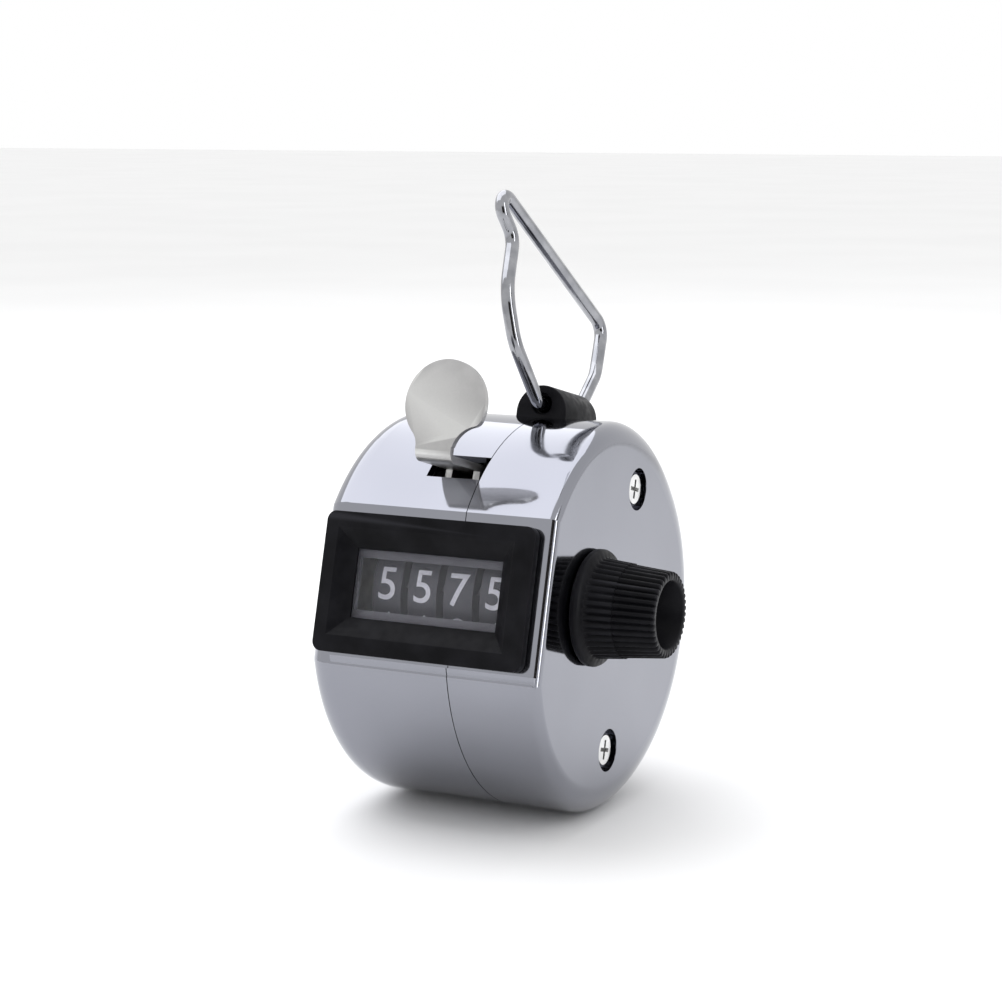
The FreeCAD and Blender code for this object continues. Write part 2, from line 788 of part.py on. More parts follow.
def number_wheel(name, x):
    body = new_body(f"{name}_wheel")
    revolve(body, wheel_outline())
    tooth = pad_outline(body, "YZ_Plane", tooth_outline(), "band_half", "ratchet_end - band_half")
    repeat_round(body, tooth, 10)
    stud_start = "-1.1"
    pad_circle(body, "YZ_Plane", "0", "stud_offset", "stud_radius", stud_start, "band_half - 0.5 + 1.1")
    carry_notch = rectangle("tooth_root - 0.9", "tooth_tip", "0.3", "1.3")
    cut_outline(body, "YZ_Plane", carry_notch, "band_half", "ratchet_end - band_half")
    finish(body, f"{name}_wheel", x, "shaft_y", "shaft_z")


def wheel_reset_pawl(name, x):
    """Small pawl on the wheel's stud whose tip rides just off the shaft."""
    body = new_body(f"{name}_reset_pawl")
    start = "-1.0"
    thick = "0.7"
    pad_circle(body, "YZ_Plane", "0", "stud_offset", "1.1", start, thick)
    nose = [
        ("-0.9", "stud_offset"),
        ("-0.4", "shaft_radius + 0.15"),
        ("0.2", "shaft_radius + 0.15"),
        ("0.9", "stud_offset"),
    ]
    pad_outline(body, "YZ_Plane", nose, start, thick)
    cut_circle(body, "YZ_Plane", "0", "stud_offset", "stud_radius + 0.03", start, thick)
    finish(body, f"{name}_reset_pawl", x, "shaft_y", "shaft_z")


def number_wheels():
    for number, name in enumerate(WHEEL_NAMES):
        x = f"first_wheel_x + {number} * wheel_pitch"
        number_wheel(name, x)
        wheel_reset_pawl(name, x)


# ---------------------------------------------------------------- thumb lever and feed pawl

def is_neck_corner(edge):
    along_y = abs(edge.tangentAt(edge.FirstParameter).y) > 0.99
    return along_y and edge.CenterOfMass.x < 0 and 15 < edge.CenterOfMass.z < 17.5


def is_scoop_corner(edge):
    along_y = abs(edge.tangentAt(edge.FirstParameter).y) > 0.99
    return along_y and edge.CenterOfMass.x > sheet.pad_x + 2 and edge.CenterOfMass.z > sheet.arm_z + 2


def is_outer_bend(edge):
    along_x = abs(edge.tangentAt(edge.FirstParameter).x) > 0.99
    return along_x and edge.CenterOfMass.y < -24 and edge.CenterOfMass.z < 14.1


def cheek_outline():
    return [
        ("pivot_y + 0.1", "arm_z + sheet"),
        ("pivot_y - 1.1", "arm_z"),
        ("pivot_y - 1.7", "pivot_z + 0.6"),
        ("pivot_y + 1.3", "pivot_z - 0.3"),
        ("pivot_y + 3.3", "pivot_z + 1.1"),
        ("shaft_y", "pivot_z + 2.7"),
        ("feed_y - 2.1", "pivot_z + 3.1"),
        ("feed_y + 0.7", "pivot_z + 3.1"),
        ("feed_y + 1.7", "feed_z - 0.6"),
        ("feed_y + 1.7", "feed_z + 0.8"),
        ("feed_y + 0.7", "arm_z + sheet"),
    ]


def thumb_lever():
    """One bent sheet: round pad, neck, arm through the slot and two cheeks on the pivot pin."""
    body = new_body("thumb_lever")
    pad_circle(body, "XZ_Plane", "pad_x", "pad_z", "pad_radius", "pad_front - sheet", "sheet")
    neck = rectangle("lever_left", "neck_right", "arm_z", "pad_z")
    pad_outline(body, "XZ_Plane", neck, "pad_front - sheet", "sheet")
    round_edges(body, is_neck_corner, "neck_round")
    scoop_x = "neck_right + scoop_radius"
    cut_circle(body, "XZ_Plane", scoop_x, "arm_z + 0.9", "scoop_radius", "pad_front - sheet", "sheet")
    round_edges(body, is_scoop_corner, "neck_round / 2")
    arm = rectangle("-pad_front", "-5.7", "arm_z", "arm_z + sheet")
    pad_outline(body, "YZ_Plane", arm, "lever_left", "lever_right - lever_left")
    for start in ("lever_left", "lever_right - sheet"):
        pad_outline(body, "YZ_Plane", cheek_outline(), start, "sheet")
        pad_circle(body, "YZ_Plane", "pivot_y", "pivot_z", "pin_radius + 0.75", start, "sheet")
    width = "lever_right - lever_left"
    cut_circle(body, "YZ_Plane", "pivot_y", "pivot_z", "pin_radius + 0.05", "lever_left", width)
    cut_circle(body, "YZ_Plane", "feed_y", "feed_z", "feed_radius + 0.05", "lever_left", width)
    round_edges(body, is_outer_bend, "bend_round")
    finish(body, "thumb_lever")


def lever_pins():
    across = "right_plate_x + plate_thick"
    pins = (
        ("lever_pivot_pin", "pin_radius", "pivot_y", "pivot_z"),
        ("lever_stop_pin", "stop_radius", "stop_y", "stop_z"),
    )
    for label, radius, y, z in pins:
        points = [
            ("left_plate_x", "0"),
            (across, "0"),
            (across, f"{radius} - 0.2"),
            (f"{across} - 0.2", radius),
            ("left_plate_x + 0.2", radius),
            ("left_plate_x", f"{radius} - 0.2"),
        ]
        turned_part(label, points, "0", y, z)
    inner = "pin_radius + 0.05"
    sleeve = tube_outline("lever_left + sheet + 0.05", "lever_right - sheet - 0.05", inner, "pin_radius + 0.55")
    turned_part("lever_bushing", sleeve, "0", "pivot_y", "pivot_z")
    end = "first_wheel_x + 3 * wheel_pitch + 2.85"
    shaft = [
        ("first_wheel_x + 1.55", "0"),
        (end, "0"),
        (end, "feed_radius"),
        ("first_wheel_x + 1.55", "feed_radius"),
    ]
    turned_part("pawl_shaft", shaft, "0", "feed_y", "feed_z")


def feed_finger(number):
    """Finger in the channel beside a wheel's number band; higher wheels have shorter ones."""
    body = new_body(f"finger_{number}")
    short = f"{3 - number} * finger_step"
    start = f"first_wheel_x + {number} * wheel_pitch + 2.25 - finger_thick / 2"
    pad_circle(body, "YZ_Plane", "0", "0", "feed_radius + 0.5", start, "finger_thick")
    blade = [
        ("-1.1", "-0.8"),
        (f"0.6 - 0.08 * ({short})", f"{short} - 7.9"),
        (f"1.5 - 0.08 * ({short})", f"{short} - 8.3"),
        ("1.3", "-0.4"),
    ]
    pad_outline(body, "YZ_Plane", blade, start, "finger_thick")
    cut_circle(body, "YZ_Plane", "0", "0", "feed_radius", start, "finger_thick")
    return body


def pawl_fingers():
    group = doc.addObject("Part::Compound", "finger_set")
    group.Links = [feed_finger(number) for number in range(4)]
    finish(group, "pawl_fingers", "0", "feed_y", "feed_z")


# ---------------------------------------------------------------- springs

def coil_points(start_x, turns, pitch, radius, begin):
    """Points round a helix about X, sixteen to a turn, from the angle begin."""
    steps = int(16 * turns)
    points = []
    for step in range(steps + 1):
        turn = step / 16
        angle = math.radians(begin) + 2 * math.pi * turn
        points.append(FreeCAD.Vector(start_x + pitch * turn, radius * math.cos(angle), radius * math.sin(angle)))
    return points


def torsion_spring(label, points, legs, wire_radius, y, z):
    """Coil through the points, with a straight leg running on from each end."""
    curve = Part.BSplineCurve()
    curve.interpolate(points)
    spine = Part.Wire([curve.toShape()])
    first_way = curve.tangent(curve.FirstParameter)[0]
    last_way = curve.tangent(curve.LastParameter)[0]
    section = Part.Wire([Part.Circle(points[0], first_way, wire_radius).toShape()])
    coil = spine.makePipeShell([section], True, False)
    first_leg = Part.makeCylinder(wire_radius, legs[0], points[0] - first_way * legs[0], first_way)
    last_leg = Part.makeCylinder(wire_radius, legs[1], points[-1], last_way)
    feature = doc.addObject("Part::Feature", label)
    feature.Shape = coil.fuse([first_leg, last_leg])
    return finish(feature, label, "0", y, z)


def springs():
    lever_coil = coil_points(sheet.lever_right + 0.5, 3.5, 0.6, sheet.pin_radius + 0.5, 180)
    torsion_spring("lever_return_spring", lever_coil, (4.6, 4.6), 0.18, "pivot_y", "pivot_z")
    pawl_coil = coil_points(0.45, 2, 0.45, sheet.feed_radius + 0.3, 0)
    torsion_spring("pawl_spring", pawl_coil, (2.2, 1.8), 0.12, "feed_y", "feed_z")


def detent_parts():
    """Square bar across the frame with a four-leaf spring screwed to its top."""
    left = "left_plate_x + plate_thick"
    length = "right_plate_x - left_plate_x - plate_thick"
    bar = new_body("bar")
    square = rectangle("bar_y - bar_half", "bar_y + bar_half", "bar_z - bar_half", "bar_z + bar_half")
    pad_outline(bar, "YZ_Plane", square, left, length)
    finish(bar, "detent_bar")
    spring = new_body("detent_leaves")
    top = "bar_z + bar_half"
    base_start = "first_wheel_x + 1.95"
    base_length = "3 * wheel_pitch + finger_thick"
    base = rectangle("bar_y - bar_half", "bar_y + bar_half", top, f"{top} + leaf")
    pad_outline(spring, "YZ_Plane", base, base_start, base_length)
    leaf = [
        ("bar_y - bar_half + 0.5", top),
        ("bar_y - 3.5", top),
        ("bar_y - 2.6", "bar_z + 5.55"),
        ("bar_y - 2.3", "bar_z + 5.5"),
        ("bar_y - 3.15", f"{top} + leaf"),
        ("bar_y - bar_half + 0.5", f"{top} + leaf"),
    ]
    for number in range(4):
        pad_outline(spring, "YZ_Plane", leaf, f"{base_start} + {number} * wheel_pitch", "finger_thick")
    finish(spring, "detent_spring")
    screws = []
    for name, x in (("left", "-2.4"), ("right", "6.6")):
        head = doc.addObject("Part::Cylinder", f"{name}_detent_head")
        bind(head, Radius="1.1", Height="0.6")
        bind(head, Placement__Base__x=x, Placement__Base__y="bar_y", Placement__Base__z=f"{top} + leaf")
        groove = block(
            f"{name}_detent_slot", f"{x} - 1.2", "bar_y - 0.15", f"{top} + leaf + 0.3", "2.4", "0.3", "0.4"
        )
        screws.append(cut(f"{name}_detent_screw", head, [groove]))
    screw_group("detent_screws", screws)


# ---------------------------------------------------------------- lug and wire ring

def ring_lug():
    """Half-round lug with a hole along it and a flange that sits under the drum's wall."""
    body = new_body("ring_lug")
    start = "-lug_half"
    length = "2 * lug_half"
    pad_circle(body, "XZ_Plane", "0", "-1", "lug_radius", start, length)
    cut_outline(body, "XZ_Plane", rectangle("-5", "5", "-6", "-1"), start, length)
    pad_outline(body, "XZ_Plane", rectangle("-lug_radius", "lug_radius", "-3", "-1"), start, length)
    flange = rectangle("-lug_radius - 1.2", "lug_radius + 1.2", "-3.5", "-2.95")
    pad_outline(body, "XZ_Plane", flange, f"{start} - 0.7", f"{length} + 1.4")
    cut_circle(body, "XZ_Plane", "0", "0", "lug_hole", start, length)
    for end in ("-lug_half", "lug_half - 0.8"):
        cut_circle(body, "XZ_Plane", "0", "0", "lug_hole + 0.3", end, "0.8")
    place_at_lug(body, "ring_lug")


def place_at_lug(thing, label):
    height = "(body_radius + lug_rise)"
    y = f"-{height} * sin(lug_tilt)"
    z = f"{height} * cos(lug_tilt)"
    finish(thing, label, "seam_x", y, z, "lug_tilt")


def rounded_path(corners, radii):
    """Straight runs joined by tangent arcs, one radius for each inner corner."""
    edges = []
    previous = corners[0]
    for number, radius in enumerate(radii, start=1):
        corner = corners[number]
        back = (corners[number - 1] - corner).normalize()
        ahead = (corners[number + 1] - corner).normalize()
        half_angle = back.getAngle(ahead) / 2
        run = radius / math.tan(half_angle)
        first = corner + back * run
        last = corner + ahead * run
        bisector = (back + ahead).normalize()
        middle = corner + bisector * (radius / math.sin(half_angle) - radius)
        edges.append(Part.LineSegment(previous, first).toShape())
        edges.append(Part.Arc(first, middle, last).toShape())
        previous = last
    edges.append(Part.LineSegment(previous, corners[-1]).toShape())
    return Part.Wire(edges)


def finger_ring():
    """Wire ring: both ends lie in the lug's hole, the loop stands up from it."""
    tilt = math.radians(sheet.ring_tilt)
    profile = [
        ((-1.2, 0.0), None),
        ((-5.4, 0.0), 1.1),
        ((-10.4, 6.3), 6.0),
        ((-11.4, 12.0), 8.0),
        ((-8.2, 18.9), 2.2),
        ((-15.4, 26.7), 1.5),
        ((15.6, 12.1), 1.8),
        ((12.0, 5.6), 6.0),
        ((5.4, 0.0), 1.1),
        ((1.2, 0.0), None),
    ]
    corners = []
    for (along, height), _ in profile:
        corners.append(FreeCAD.Vector(-height * math.sin(tilt), along, height * math.cos(tilt)))
    radii = [radius for _, radius in profile if radius is not None]
    path = rounded_path(corners, radii)
    section = Part.Circle(corners[0], FreeCAD.Vector(0, 1, 0), sheet.ring_wire).toShape()
    ring = doc.addObject("Part::Feature", "finger_ring")
    ring.Shape = path.makePipeShell([Part.Wire([section])], True, False)
    place_at_lug(ring, "finger_ring")


# ---------------------------------------------------------------- the whole counter

def build():
    casing_halves()
    window_bezel()
    window_lens()
    digit_mask()
    side_plate("left_side_plate", "left_plate_x", "shaft_radius + 0.9")
    side_plate("right_side_plate", "right_plate_x", "shaft_radius + 0.1")
    frame_spacers()
    all_screws()
    reset_shaft()
    bushes_and_washers()
    reset_knob()
    number_wheels()
    thumb_lever()
    lever_pins()
    pawl_fingers()
    springs()
    detent_parts()
    ring_lug()
    finger_ring()
    doc.recompute()


def check_document():
    for thing in doc.Objects:
        if "Invalid" in thing.State or "Error" in thing.State:
            raise RuntimeError(f"{thing.Label} failed to build")
    for thing in finished:
        if thing.Shape.isNull() or not thing.Shape.isValid() or thing.Shape.Volume <= 0:
            raise RuntimeError(f"{thing.Label} has no valid shape")


def write_parts():
    os.makedirs("parts", exist_ok=True)
    for thing in finished:
        thing.Shape.exportStep(f"parts/{thing.Label}.step")


build()
check_document()
write_parts()
for thing in finished:
    print(f"{thing.Label}: {len(thing.Shape.Solids)} solids, {thing.Shape.Volume:.1f} mm3")
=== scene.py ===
import json
import math

import bmesh
import bpy
from mathutils import Matrix, Vector


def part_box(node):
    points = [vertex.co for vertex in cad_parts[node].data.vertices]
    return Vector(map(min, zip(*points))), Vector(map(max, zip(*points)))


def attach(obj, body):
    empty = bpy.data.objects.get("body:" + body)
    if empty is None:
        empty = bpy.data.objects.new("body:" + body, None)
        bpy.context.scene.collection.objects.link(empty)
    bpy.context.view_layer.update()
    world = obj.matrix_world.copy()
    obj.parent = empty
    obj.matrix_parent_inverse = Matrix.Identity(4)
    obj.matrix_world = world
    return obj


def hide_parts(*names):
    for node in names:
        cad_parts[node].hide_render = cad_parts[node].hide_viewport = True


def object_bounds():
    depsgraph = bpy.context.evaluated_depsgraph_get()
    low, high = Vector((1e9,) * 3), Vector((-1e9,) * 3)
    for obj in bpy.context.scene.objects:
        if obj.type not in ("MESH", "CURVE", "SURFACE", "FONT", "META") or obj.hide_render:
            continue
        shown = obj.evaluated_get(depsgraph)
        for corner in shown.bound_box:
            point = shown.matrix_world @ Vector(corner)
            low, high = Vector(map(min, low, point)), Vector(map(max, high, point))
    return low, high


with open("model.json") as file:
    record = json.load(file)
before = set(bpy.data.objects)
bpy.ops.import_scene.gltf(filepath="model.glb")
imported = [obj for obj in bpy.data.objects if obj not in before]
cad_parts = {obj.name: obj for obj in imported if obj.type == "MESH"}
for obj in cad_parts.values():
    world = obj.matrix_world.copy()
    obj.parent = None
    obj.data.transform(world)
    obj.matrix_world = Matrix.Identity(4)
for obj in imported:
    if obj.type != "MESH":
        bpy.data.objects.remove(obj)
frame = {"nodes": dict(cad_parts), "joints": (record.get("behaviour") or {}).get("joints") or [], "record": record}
cad_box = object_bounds()

MM = 0.001
LEAN = math.radians(-15.3)
DRUM_HALF_WIDTH = 14.7
SHAFT_HEIGHT = 0.6

JOINTS = {joint["name"]: joint for joint in frame["joints"]}
SHAFT = Vector(JOINTS["reset_turn"]["pos_m"])


def place(x, y, z):
    """Row position of a point given in the counter's own millimetres, before it leans back."""
    leaned_y = y * math.cos(LEAN) - z * math.sin(LEAN)
    leaned_z = y * math.sin(LEAN) + z * math.cos(LEAN)
    return Vector(((x + DRUM_HALF_WIDTH) * MM, leaned_y * MM, leaned_z * MM))


# ---------------------------------------------------------------- node materials

class Finish:
    """A procedural material: a principled shader and small helpers that feed it."""

    def __init__(self, name, color, metallic=0.0, roughness=0.5):
        self.material = bpy.data.materials.new(name)
        self.material.use_nodes = True
        self.tree = self.material.node_tree
        self.shader = self.tree.nodes["Principled BSDF"]
        self.shader.inputs["Base Color"].default_value = (*color, 1)
        self.shader.inputs["Metallic"].default_value = metallic
        self.shader.inputs["Roughness"].default_value = roughness
        self.coordinates = self.add("ShaderNodeTexCoord").outputs["Object"]

    def add(self, kind, **settings):
        node = self.tree.nodes.new(kind)
        for key, value in settings.items():
            setattr(node, key, value)
        return node

    def link(self, source, target):
        self.tree.links.new(source, target)

    def noise(self, per_mm, detail=3.0, stretch=(1, 1, 1)):
        """Noise with about this many blotches to a millimetre."""
        mapping = self.add("ShaderNodeMapping")
        mapping.inputs["Scale"].default_value = stretch
        self.link(self.coordinates, mapping.inputs["Vector"])
        texture = self.add("ShaderNodeTexNoise")
        texture.inputs["Scale"].default_value = per_mm / MM
        texture.inputs["Detail"].default_value = detail
        self.link(mapping.outputs["Vector"], texture.inputs["Vector"])
        return texture.outputs["Fac"]

    def spread(self, source, low, high, start=0.35, end=0.65):
        """Remap a 0 to 1 value between two numbers."""
        remap = self.add("ShaderNodeMapRange")
        remap.inputs["From Min"].default_value = start
        remap.inputs["From Max"].default_value = end
        remap.inputs["To Min"].default_value = low
        remap.inputs["To Max"].default_value = high
        self.link(source, remap.inputs["Value"])
        return remap.outputs["Result"]

    def mix(self, factor, first, second):
        node = self.add("ShaderNodeMix", data_type="RGBA")
        self.link(factor, node.inputs["Factor"])
        for socket, value in ((node.inputs["A"], first), (node.inputs["B"], second)):
            if isinstance(value, tuple):
                socket.default_value = (*value, 1)
            else:
                self.link(value, socket)
        return node.outputs["Result"]

    def edges(self, start=0.51, end=0.6):
        """About 1 on raised edges, 0 on flats."""
        pointiness = self.add("ShaderNodeNewGeometry").outputs["Pointiness"]
        return self.spread(pointiness, 0, 1, start, end)

    def color(self, source):
        self.link(source, self.shader.inputs["Base Color"])
        return self

    def roughness(self, source):
        self.link(source, self.shader.inputs["Roughness"])
        return self

    def bump(self, source, depth_mm, strength=1.0):
        node = self.add("ShaderNodeBump")
        node.inputs["Distance"].default_value = depth_mm * MM
        node.inputs["Strength"].default_value = strength
        self.link(source, node.inputs["Height"])
        previous = self.shader.inputs["Normal"]
        if previous.is_linked:
            self.link(previous.links[0].from_socket, node.inputs["Normal"])
        self.link(node.outputs["Normal"], self.shader.inputs["Normal"])
        return self


def chrome_plate():
    """Bright chromed sheet with faint waviness and the odd dull smear."""
    finish = Finish("chrome_plate", (0.27, 0.276, 0.308), metallic=1.0, roughness=0.07)
    tone = finish.noise(0.05, 2)
    finish.color(finish.mix(finish.spread(tone, 0, 1), (0.26, 0.266, 0.298), (0.282, 0.288, 0.322)))
    smear = finish.noise(0.12, 5, (1, 1, 3))
    finish.roughness(finish.spread(smear, 0.05, 0.12))
    finish.bump(finish.noise(0.09, 1), 0.02, 0.35)
    finish.bump(finish.noise(9, 2), 0.001, 0.25)
    return finish.material


def wire_chrome():
    finish = Finish("wire_chrome", (0.4, 0.405, 0.43), metallic=1.0, roughness=0.08)
    dull = finish.noise(0.5, 4)
    finish.color(finish.mix(finish.spread(dull, 0, 1), (0.26, 0.265, 0.285), (0.36, 0.365, 0.385)))
    finish.roughness(finish.spread(dull, 0.05, 0.16))
    finish.bump(finish.noise(2.5, 3), 0.003, 0.3)
    return finish.material


def satin_nickel():
    """Tumbled nickel plate: even grain, with a painted highlight (lighter colour) along its sheared edges."""
    finish = Finish("satin_nickel", (0.5, 0.5, 0.5), metallic=1.0, roughness=0.38)
    patch = finish.noise(0.3, 4)
    base = finish.mix(finish.spread(patch, 0, 1), (0.36, 0.355, 0.355), (0.43, 0.425, 0.425))
    # painted highlight: the sheared edges are given a lighter colour than the flats
    finish.color(finish.mix(finish.edges(), base, (0.6, 0.6, 0.59)))
    finish.roughness(finish.spread(finish.noise(4, 4), 0.3, 0.46))
    finish.bump(finish.noise(7, 3), 0.004, 0.5)
    return finish.material


def black_plastic():
    """Moulded black plastic: fine matt grain, with a painted highlight (lighter colour) on the raised edges."""
    finish = Finish("black_plastic", (0.006, 0.006, 0.008), roughness=0.42)
    cloud = finish.noise(0.25, 3)
    base = finish.mix(finish.spread(cloud, 0, 1), (0.004, 0.004, 0.005), (0.009, 0.009, 0.011))
    # painted highlight: the raised edges are given a lighter colour than the flats
    finish.color(finish.mix(finish.edges(0.52, 0.65), base, (0.02, 0.02, 0.024)))
    finish.roughness(finish.spread(finish.noise(1.2, 4), 0.3, 0.48))
    finish.bump(finish.noise(12, 2), 0.006, 0.35)
    finish.shader.inputs["Specular IOR Level"].default_value = 0.07
    return finish.material


def printed_wheel():
    finish = Finish("printed_wheel", (0.045, 0.044, 0.06), roughness=0.55)
    cloud = finish.noise(0.4, 4)
    finish.color(finish.mix(finish.spread(cloud, 0, 1), (0.040, 0.039, 0.054), (0.054, 0.053, 0.071)))
    finish.roughness(finish.spread(finish.noise(3, 3), 0.45, 0.62))
    finish.bump(finish.noise(8, 2), 0.004, 0.4)
    return finish.material


def number_ink():
    finish = Finish("number_ink", (0.62, 0.62, 0.7), roughness=0.5)
    worn = finish.noise(2.2, 5)
    fade = finish.spread(worn, 0, 1, 0.3, 0.7)
    finish.color(finish.mix(fade, (0.55, 0.55, 0.63), (0.70, 0.70, 0.78)))
    finish.bump(finish.noise(9, 2), 0.003, 0.4)
    return finish.material


def mask_paint():
    finish = Finish("mask_paint", (0.085, 0.083, 0.105), roughness=0.6)
    cloud = finish.noise(0.5, 4)
    finish.color(finish.mix(finish.spread(cloud, 0, 1), (0.075, 0.073, 0.094), (0.098, 0.096, 0.12)))
    finish.bump(finish.noise(10, 2), 0.004, 0.4)
    return finish.material


def clear_plastic():
    """Thin clear window: mostly see-through, with a faint gloss and moulding ripple."""
    finish = Finish("clear_plastic", (0.9, 0.92, 0.97), roughness=0.04)
    finish.shader.inputs["Alpha"].default_value = 0.03
    finish.shader.inputs["IOR"].default_value = 1.46
    finish.roughness(finish.spread(finish.noise(0.2, 3), 0.02, 0.07))
    finish.bump(finish.noise(0.08, 1), 0.02, 0.2)
    return finish.material


def plain_metal(name, dark, light, low, high):
    """Machined or stamped metal between two tones and two roughness values."""
    finish = Finish(name, light, metallic=1.0, roughness=high)
    finish.color(finish.mix(finish.spread(finish.noise(0.6, 4), 0, 1), dark, light))
    finish.roughness(finish.spread(finish.noise(2, 4, (1, 4, 4)), low, high))
    finish.bump(finish.noise(6, 3), 0.003, 0.4)
    return finish.material


def pale_floor():
    finish = Finish("pale_floor", (0.9, 0.9, 0.9), roughness=0.75)
    cloud = finish.spread(finish.noise(0.01, 3), 0, 1)
    finish.color(finish.mix(cloud, (0.89, 0.89, 0.89), (0.91, 0.91, 0.91)))
    finish.bump(finish.noise(2, 3), 0.01, 0.2)
    return finish.material


def finish_nodes(looks):
    """Give every carried-over node the material of its slot."""
    for entry in frame["record"]["subparts"]:
        mesh = frame["nodes"][entry["node"]].data
        mesh.materials.clear()
        mesh.materials.append(looks[entry["material_slot"]])


# ---------------------------------------------------------------- mesh helpers

def add_object(name, mesh, material, body):
    """Link a mesh whose points are already in the row frame, and let it ride on a body."""
    piece = bpy.data.objects.new(name, mesh)
    bpy.context.scene.collection.objects.link(piece)
    mesh.materials.clear()
    mesh.materials.append(material)
    for polygon in mesh.polygons:
        polygon.use_smooth = True
    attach(piece, body)
    return piece


SHARP_EDGE = math.radians(25)


def softened_copy(node, width_mm, material, body):
    """The node's own shape with its hard edges rounded over, standing for the node."""
    mesh = bpy.data.meshes.new(node + "_soft")
    work = bmesh.new()
    work.from_mesh(frame["nodes"][node].data)
    bmesh.ops.remove_doubles(work, verts=work.verts, dist=0.002 * MM)
    bmesh.ops.dissolve_limit(
        work, angle_limit=math.radians(1), verts=work.verts, edges=work.edges, delimit={"NORMAL"}
    )
    hard = [edge for edge in work.edges if edge.is_manifold and edge.calc_face_angle(0) > SHARP_EDGE]
    bmesh.ops.bevel(
        work, geom=hard, offset=width_mm * MM, offset_type="OFFSET", segments=3, profile=0.5,
        affect="EDGES", clamp_overlap=True,
    )
    bmesh.ops.recalc_face_normals(work, faces=work.faces)
    work.to_mesh(mesh)
    work.free()
    piece = add_object(node + "_soft", mesh, material, body)
    mesh.set_sharp_from_angle(angle=math.radians(40))
    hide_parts(node)
    return piece


# ---------------------------------------------------------------- reset knob

KNOB_RIBS = 40
RIB_DEPTH = 0.34
STEPS_PER_RIB = 8
CONE_RADIUS = 4.75
BORE_RADIUS = 3.75
BORE_DEPTH = 6.0
HUB_RADIUS = 1.5


def knob_rings(low, high):
    """(x, radius, rib depth) along the knob's outline, from the CAD knob's own ends."""
    start, end = low.x / MM, high.x / MM
    flange = (high.y - low.y) / 2 / MM
    return [
        (start, HUB_RADIUS, 0),
        (start, flange - 0.25, 0),
        (start + 0.25, flange, 0),
        (start + 0.75, flange, 0),
        (start + 1.0, flange - 0.12, 0),
        (start + 1.25, 5.75, 0),
        (start + 1.35, 5.6, RIB_DEPTH * 0.4),
        (start + 1.8, 5.55, RIB_DEPTH),
        (start + 4.5, 5.3, RIB_DEPTH),
        (end - 4.75, 5.2, RIB_DEPTH),
        (end - 0.35, 4.8, RIB_DEPTH),
        (end - 0.1, CONE_RADIUS, RIB_DEPTH),
        (end, 4.62, RIB_DEPTH),
        (end, 3.9, 0),
        (end - 0.15, BORE_RADIUS, 0),
        (end - BORE_DEPTH + 0.1, BORE_RADIUS, 0),
        (end - BORE_DEPTH, BORE_RADIUS - 0.1, 0),
        (end - BORE_DEPTH, HUB_RADIUS, 0),
    ]


def ribbed_knob(material):
    """Hollow tapered knob with fine ribs along it and a plain flange."""
    low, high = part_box("reset_knob")
    steps = KNOB_RIBS * STEPS_PER_RIB
    work = bmesh.new()
    loops = []
    for x, radius, depth in knob_rings(low, high):
        loop = []
        for step in range(steps):
            angle = 2 * math.pi * step / steps
            groove = (0.5 - 0.5 * math.cos(KNOB_RIBS * angle)) ** 2
            r = (radius - depth * groove) * MM
            point = (x * MM, SHAFT.y + r * math.cos(angle), SHAFT.z + r * math.sin(angle))
            loop.append(work.verts.new(point))
        loops.append(loop)
    loops.append(loops[0])
    for first, second in zip(loops, loops[1:]):
        for step in range(steps):
            following = (step + 1) % steps
            work.faces.new((first[step], first[following], second[following], second[step]))
    bmesh.ops.recalc_face_normals(work, faces=work.faces)
    mesh = bpy.data.meshes.new("ribbed_knob")
    work.to_mesh(mesh)
    work.free()
    knob = add_object("ribbed_knob", mesh, material, "reset")
    mesh.set_sharp_from_angle(angle=math.radians(50))
    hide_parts("reset_knob")
    return knob


# ---------------------------------------------------------------- printed numbers

DIGIT_HEIGHT = 3.7
DIGIT_BANDS = 12
DIGIT_PITCH = math.radians(36)
PRINT_HEIGHT = 0.012
DIGIT_CENTRE_Z = 0.65
SHOWN = {"thousands": 5, "hundreds": 5, "tens": 7, "units": 5}
DIGIT_X = {"thousands": -6.95, "hundreds": -2.45, "tens": 2.05, "units": 6.55}


def digit_outline(text):
    """Flat mesh of one digit, centred, DIGIT_HEIGHT tall, in millimetres, cut into narrow bands."""
    curve = bpy.data.curves.new("digit", "FONT")
    curve.body = text
    curve.align_x = "CENTER"
    curve.offset = 0.004
    holder = bpy.data.objects.new("digit", curve)
    bpy.context.scene.collection.objects.link(holder)
    bpy.context.view_layer.update()
    graph = bpy.context.evaluated_depsgraph_get()
    mesh = bpy.data.meshes.new_from_object(holder.evaluated_get(graph))
    bpy.data.objects.remove(holder)
    bpy.data.curves.remove(curve)
    low = min(vertex.co.y for vertex in mesh.vertices)
    high = max(vertex.co.y for vertex in mesh.vertices)
    left = min(vertex.co.x for vertex in mesh.vertices)
    right = max(vertex.co.x for vertex in mesh.vertices)
    scale = DIGIT_HEIGHT / (high - low)
    for vertex in mesh.vertices:
        x = (vertex.co.x - (left + right) / 2) * scale
        y = (vertex.co.y - (low + high) / 2) * scale
        vertex.co = (x, y, 0)
    work = bmesh.new()
    work.from_mesh(mesh)
    bpy.data.meshes.remove(mesh)
    for number in range(1, DIGIT_BANDS):
        height = DIGIT_HEIGHT * (number / DIGIT_BANDS - 0.5)
        geometry = [*work.verts, *work.edges, *work.faces]
        bmesh.ops.bisect_plane(work, geom=geometry, plane_co=(0, height, 0), plane_no=(0, 1, 0))
    return work


